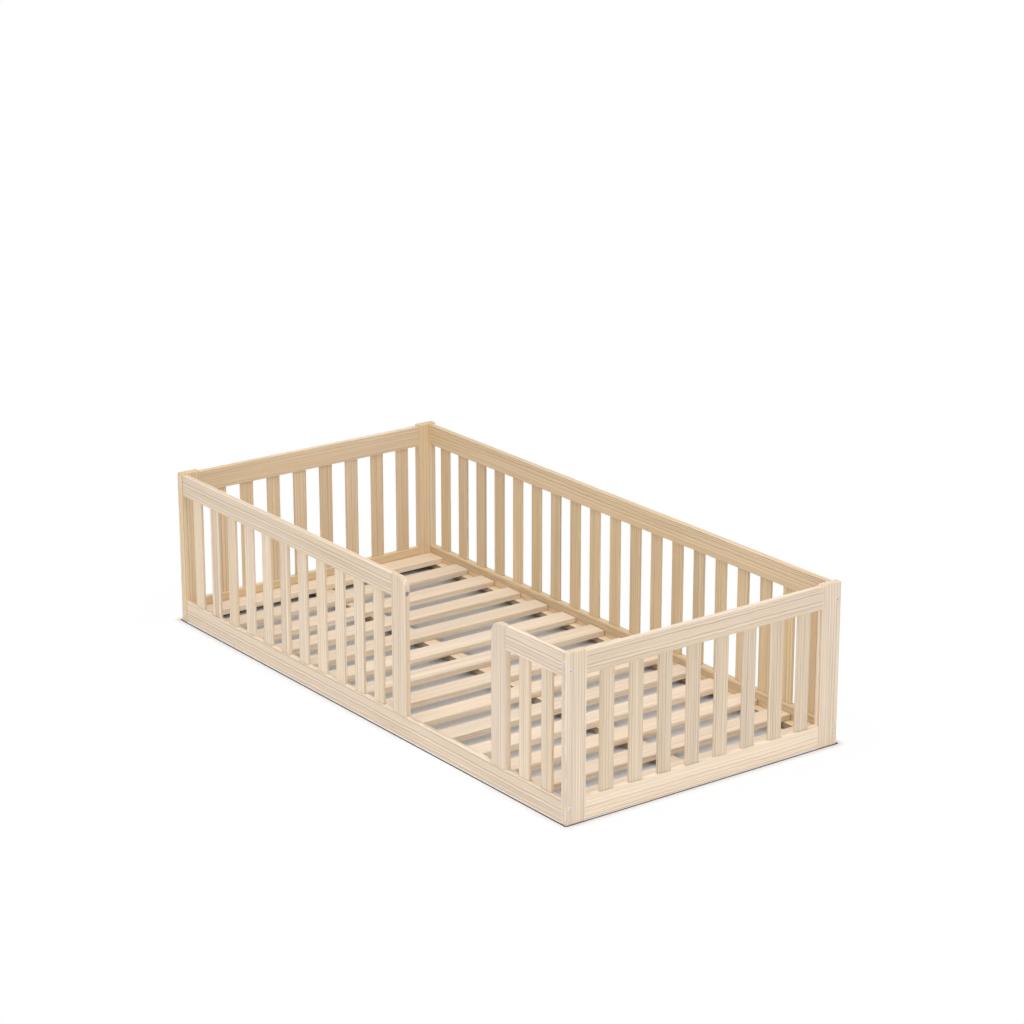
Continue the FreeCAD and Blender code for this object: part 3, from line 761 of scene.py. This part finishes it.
holes = {    # mm; a hole's own length only has to reach past the board
    "headGap": 0.3, "boreRadius": 3.25, "boreLength": 200, "overrun": 1.0, "steps": 32,
    "countersinkSink": 0.5, "screwBore": 2.25, "screwLength": 60.0,
    "margin": 0.0005,       # m, how near a fastener's start must lie to the board it is in
    "onSurface": 0.4,       # how deep most heads are sunk
    "sunkHeads": {"entry_foot_bolts": 20.0},
}


def lathedHole(start, direction, profile):
    one = np.ones(holes["steps"])
    return latheRings(start, direction, [(depth, radius * one) for depth, radius in profile])


def boltHole(fact):
    # Counterbore for the head, then the bore through the clamped wood. start is the head's top
    width = fact["width"] / millimetre + holes["headGap"]
    seat = bolt["headHeight"]
    outside = -(fact["sunk"] + holes["overrun"])
    return lathedHole(fact["start"], fact["direction"],
                      [(outside, poleRadius), (outside, width), (seat, width),
                       (seat, holes["boreRadius"]), (holes["boreLength"], holes["boreRadius"]),
                       (holes["boreLength"], poleRadius)])


def screwHole(fact):
    # Countersink and clearance bore; both run out of the wood
    width, length = fact["width"] / millimetre, holes["screwLength"]
    over = holes["countersinkSink"] + holes["overrun"]
    return lathedHole(fact["start"], fact["direction"],
                      [(-over, poleRadius), (-over, width), (0, width),
                       (screw["headHeight"], holes["screwBore"]), (length, holes["screwBore"]),
                       (length, poleRadius)])


def inside(point, box, margin):
    low, high = np.array(box[0]) - margin, np.array(box[1]) + margin
    return bool((point > low).all() and (point < high).all())


mortise = {    # mm
    "gap": 0.8, "round": 2.0, "endRound": 0.01,
    "under": 0.4,       # between the spindle's end and the mortise's floor
    "overrun": 1.0, "margin": 0.1,
}
spindleBoxes = {}
for node in frame["nodes"]:
    if "spindle" in node:
        spindleBoxes[node] = [(part.min(axis=0), part.max(axis=0))
                              for part in looseParts(node)]
allSpindles = [box for boxes in spindleBoxes.values() for box in boxes]


def mortisesIn(box):
    # A spindle's own section, a glue gap wider, wherever a spindle's end lies inside the rail
    cutters = []
    gap = mortise["gap"] * millimetre
    for number, (low, high) in enumerate(allSpindles):
        middle = (low + high) / 2
        for endZ, mouth in ((low[2], 1), (high[2], -1)):
            end = np.array([middle[0], middle[1], endZ])
            if not inside(end, box, mortise["margin"] * millimetre):
                continue
            overrun = mortise["overrun"] * millimetre
            mouthZ = box[1][2] + overrun if mouth > 0 else box[0][2] - overrun
            floor = endZ - mouth * mortise["under"] * millimetre
            cutLow = np.array([low[0] - gap, low[1] - gap, min(mouthZ, floor)])
            cutHigh = np.array([high[0] + gap, high[1] + gap, max(mouthZ, floor)])
            radius = (mortise["round"] + mortise["gap"]) * millimetre
            cutters.append(boardGrid(cutLow, cutHigh, upright, [radius] * 4,
                                     mortise["endRound"] * millimetre, number))
    return cutters


# ---- the boards themselves

boardKinds = {    # mm
    "post": {"axis": upright, "edge": 2.5, "end": 2.5},
    "spindle": {"axis": upright, "edge": 2.0, "end": 0.4},
    "sideRail": {"axis": lengthwise, "edge": 2.0, "end": 0.3},
    "endRail": {"axis": crosswise, "edge": 2.0, "end": 0.3},
    "support": {"axis": lengthwise, "edge": 1.5, "end": 0.4},
    "slat": {"axis": crosswise, "edge": 2.2, "end": 1.2},
}
entryPost = {"corner": 32.0, "edge": 2.0, "square": 0.3, "arcSteps": 14}


def kindOf(node):
    if "spindle" in node:
        return "spindle"
    if "post" in node:
        return "post"
    if node.startswith("slat_"):
        return "slat"
    if node.startswith(("head_", "foot_")):
        return "endRail"
    return "sideRail" if "rail" in node else "support"


def boardBoxes(node):
    if node in spindleBoxes:
        return spindleBoxes[node]
    low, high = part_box(node)
    return [(np.array(low), np.array(high))]


def entryPostGrid(box, entryIsAtHighX, seed):
    # Outline in X and Z swept through the thickness; the corner by the entry has a large radius
    big, small = entryPost["corner"] * millimetre, entryPost["square"] * millimetre
    edge = entryPost["edge"] * millimetre
    # Swept along Y, the section's first axis is Z and its second X. Its corners are
    # (+Z+X, -Z+X, -Z-X, +Z-X)
    radii = [big, small, small, edge] if entryIsAtHighX else [edge, small, small, big]
    return boardGrid(*box, crosswise, radii, edge, seed, entryPost["arcSteps"])


woodNodes = sorted(node for node in frame["nodes"] if node not in fastenerMakers)
boltFacts = [fact for node in fastenerMakers if "bolts" in node for fact in facts[node]]
screwFacts = [fact for node in fastenerMakers if "screws" in node for fact in facts[node]]
for node in fastenerMakers:
    for fact in facts[node]:
        fact["sunk"] = holes["sunkHeads"].get(node, holes["onSurface"])

seedsPerBoard = 50
paintedFlankShade = {"tone": -11.0, "inside": 0.7}    # painted shade: tone on the long sides of the supports under the slats, where their shadow falls, and how far in from each side it reaches, in mm


# Painted shade: points on a support's long sides get a very dark tone, standing in for the shadow
# under the slats
def paintFlankShade(piece, box):
    places = vertexPlaces(piece.data)
    edge = np.minimum(places[:, 1] - box[0][1], box[1][1] - places[:, 1])
    look = np.empty(len(places) * 3, np.float32)
    attribute = piece.data.attributes["boardLook"]
    attribute.data.foreach_get("vector", look)
    look[::3][edge < paintedFlankShade["inside"] * millimetre] = paintedFlankShade["tone"]
    attribute.data.foreach_set("vector", look)


for number, node in enumerate(woodNodes):
    kind = boardKinds[kindOf(node)]
    boxes = boardBoxes(node)
    grids = []
    for part, (low, high) in enumerate(boxes):
        seed = number * seedsPerBoard + part
        if node.startswith("entry_post"):
            grids.append(entryPostGrid((low, high), node.endswith("left"), seed))
        else:
            grids.append(boardGrid(low, high, kind["axis"], [kind["edge"] * millimetre] * 4,
                                   kind["end"] * millimetre, seed))
    piece = addPiece(node + "_board", makeMesh(node + "_shape", grids), slotOf[node],
                     materials[slotOf[node]], node)
    cutters = []
    if "post" in node or node == "front_lower_rail":
        for fact in boltFacts:
            if inside(fact["start"], boxes[0], holes["margin"]):
                cutters.append(boltHole(fact))
    if "rail" in node:
        cutters += mortisesIn(boxes[0])
    if node.startswith("ledger") or node == "centre_beam":
        for fact in screwFacts:
            if inside(fact["start"], boxes[0], holes["margin"]):
                cutters.append(screwHole(fact))
    if cutters:
        cutHoles(piece, cutters)
    giveGrain(piece, kind["axis"], boxes, seed=grainSeeds.get(node, number))
    # The ledgers and the centre beam get painted shade on their long sides
    if kind is boardKinds["support"]:
        paintFlankShade(piece, boxes[0])
    smoothExceptCorners(piece.data)
print("boards ready:", len(woodNodes))


# ---- floor, light and camera

floorLook = {    # m; shadeStart and shadeEnd are shares of open sky
    "half": 60.0, "colour": (0.93, 0.93, 0.93, 1), "roughness": 0.9, "specular": 0.1,
    "paintedShadowColour": (0.05, 0.042, 0.035, 1), "paintedShadowStart": 0.003, "paintedShadowEnd": 0.008,
    "whiteStart": 0.006, "whiteEnd": 0.03, "whiteShare": 0.96, "farEnd": 0.8,
    "paintedLightUnder": 0.24, "underEdge": 0.00001, "skySamples": 16,
    "shadeColour": (0.22, 0.20, 0.19, 1), "shadeReach": 0.06, "shadeStart": 0.09,
    "shadeEnd": 0.25,
}


def makeFloor():
    half = floorLook["half"]
    corners = np.array([[-half, -half, 0], [half, -half, 0], [half, half, 0], [-half, half, 0]])
    mesh = bpy.data.meshes.new("floor")
    mesh.from_pydata(corners.tolist(), [], [[0, 1, 2, 3]])
    floor = bpy.data.objects.new("floor", mesh)
    bpy.context.scene.collection.objects.link(floor)
    material, sheet, shader, output = newMaterial("paleFloor")
    mesh.materials.append(material)
    shader.inputs["Roughness"].default_value = floorLook["roughness"]
    shader.inputs["Specular IOR Level"].default_value = floorLook["specular"]
    # Outside the bed's outline the floor turns into the white backdrop for the eye; close to the
    # bed and under it the plain floor and its shadow show, and for the eye alone a painted dark
    # shadow line runs round the bed's outline
    place = sheet.add("ShaderNodeTexCoord").outputs["Object"]
    place = sheet.add("ShaderNodeSeparateXYZ", {0: place})
    squares = []
    for axis in (0, 1):
        distance = sheet.math("ABSOLUTE", place.outputs[axis])
        outside = sheet.math("MAXIMUM", sheet.math("SUBTRACT", distance, cadBox[1][axis]), 0.0)
        squares.append(sheet.math("POWER", outside, 2.0))
    reach = sheet.math("SQRT", sheet.math("ADD", *squares))
    # Painted shadow: a dark line on the floor round the bed's outline, for the eye alone, stands
    # in for the contact shadow
    clearOfPaintedShadow = sheet.smoothRange(reach, floorLook["paintedShadowStart"], floorLook["paintedShadowEnd"])
    under = sheet.math("GREATER_THAN", floorLook["underEdge"], reach)
    seen = sheet.seenByEye()
    plain = sheet.math("MAXIMUM", sheet.math("MAXIMUM", clearOfPaintedShadow, under),
                       sheet.math("SUBTRACT", 1.0, seen))
    tint = sheet.mix(plain, floorLook["paintedShadowColour"], floorLook["colour"])
    # Under the bed the share of open sky within a few centimetres tells the lit strips between the
    # slats from the dark ones below them
    openSky = sheet.add("ShaderNodeAmbientOcclusion", {"Distance": floorLook["shadeReach"]},
                        samples=floorLook["skySamples"]).outputs["AO"]
    lit = sheet.smoothRange(openSky, floorLook["shadeStart"], floorLook["shadeEnd"])
    shade = sheet.math("MULTIPLY", sheet.math("MULTIPLY", under, seen),
                       sheet.math("SUBTRACT", 1.0, lit))
    tint = sheet.mix(shade, tint, floorLook["shadeColour"])
    sheet.join(tint, shader.inputs["Base Color"])
    near = sheet.smoothRange(reach, floorLook["whiteStart"], floorLook["whiteEnd"],
                             floorLook["whiteShare"])
    far = sheet.add("ShaderNodeMapRange", {"Value": reach, "From Max": floorLook["farEnd"],
                                           "To Max": 1 - floorLook["whiteShare"]})
    fade = sheet.math("ADD", near, far.outputs[0])
    # Painted light: under the bed the floor glows white for the eye where it has open sky,
    # standing in for light in the strips between the slats
    litUnder = sheet.math("MULTIPLY", under, lit)
    fade = sheet.math("MULTIPLY_ADD", litUnder, floorLook["paintedLightUnder"], fade)
    share = sheet.math("MULTIPLY", fade, seen)
    white = sheet.add("ShaderNodeEmission", {"Color": (1, 1, 1, 1), "Strength": 1.0})
    blend = sheet.add("ShaderNodeMixShader", {0: share, 1: shader.outputs[0], 2: white.outputs[0]})
    sheet.join(blend.outputs[0], output.inputs["Surface"])


skyLight = {"strength": 0.50, "colour": (0.99, 0.995, 1.03, 1)}    # the lamps' colour too


def makeWorld():
    world = bpy.data.worlds.new("studio")
    bpy.context.scene.world = world
    world.use_nodes = True
    world.node_tree.nodes.clear()
    sheet = NodeSheet(world.node_tree)
    dome = sheet.add("ShaderNodeBackground", {"Color": skyLight["colour"],
                                              "Strength": skyLight["strength"]})
    backdrop = sheet.add("ShaderNodeBackground", {"Color": (1, 1, 1, 1), "Strength": 1.0})
    blend = sheet.add("ShaderNodeMixShader", {0: sheet.seenByEye(), 1: dome.outputs[0],
                                              2: backdrop.outputs[0]})
    sheet.add("ShaderNodeOutputWorld", {"Surface": blend.outputs[0]})


softBoxes = {
    "overhead": {"place": (0.5, -0.4, 4.4), "size": 3.2, "watts": 119},
    "footSide": {"place": (5.0, -1.0, 0.5), "size": 1.6, "watts": 40},
    "entrySide": {"place": (-0.8, -4.4, 0.5), "size": 1.6, "watts": 33},
}
lampAim = (0, 0, 0.2)


def makeLamps():
    aim = Vector(lampAim)
    for name, box in softBoxes.items():
        lamp = bpy.data.lights.new(name, "AREA")
        lamp.shape = "SQUARE"
        lamp.size = box["size"]
        lamp.energy = box["watts"]
        lamp.color = skyLight["colour"][:3]
        holder = bpy.data.objects.new(name, lamp)
        holder.location = box["place"]
        holder.rotation_euler = (aim - Vector(box["place"])).to_track_quat("-Z", "Y").to_euler()
        bpy.context.scene.collection.objects.link(holder)


view = {
    "azimuth": 53.406, "elevation": 18.009,   # degrees
    "distance": 8.66588,                      # m from the box's centre, along the line of sight
    "right": 0.059733, "up": 0.259441,        # m, the camera's own offset from that line
    "focalPixels": 2992.18, "framePixels": 1024, "sensor": 36.0, "clipEnd": 100,
}


def makeCamera():
    azimuth, elevation = math.radians(view["azimuth"]), math.radians(view["elevation"])
    back = Vector((math.sin(azimuth) * math.cos(elevation),
                   -math.cos(azimuth) * math.cos(elevation), math.sin(elevation)))
    right = Vector((math.cos(azimuth), math.sin(azimuth), 0))
    up = back.cross(right)
    centre = (cadBox[0] + cadBox[1]) / 2
    lens = bpy.data.cameras.new("camera")
    lens.sensor_width = view["sensor"]
    lens.lens = view["focalPixels"] / view["framePixels"] * view["sensor"]
    lens.clip_end = view["clipEnd"]
    camera = bpy.data.objects.new("camera", lens)
    camera.matrix_world = Matrix.Translation(
        centre + back * view["distance"] + right * view["right"] + up * view["up"]
    ) @ Matrix((right, up, back)).transposed().to_4x4()
    bpy.context.scene.collection.objects.link(camera)
    bpy.context.scene.camera = camera


makeFloor()
makeWorld()
makeLamps()
makeCamera()
bpy.context.scene.view_settings.view_transform = "Standard"
print("stage ready")
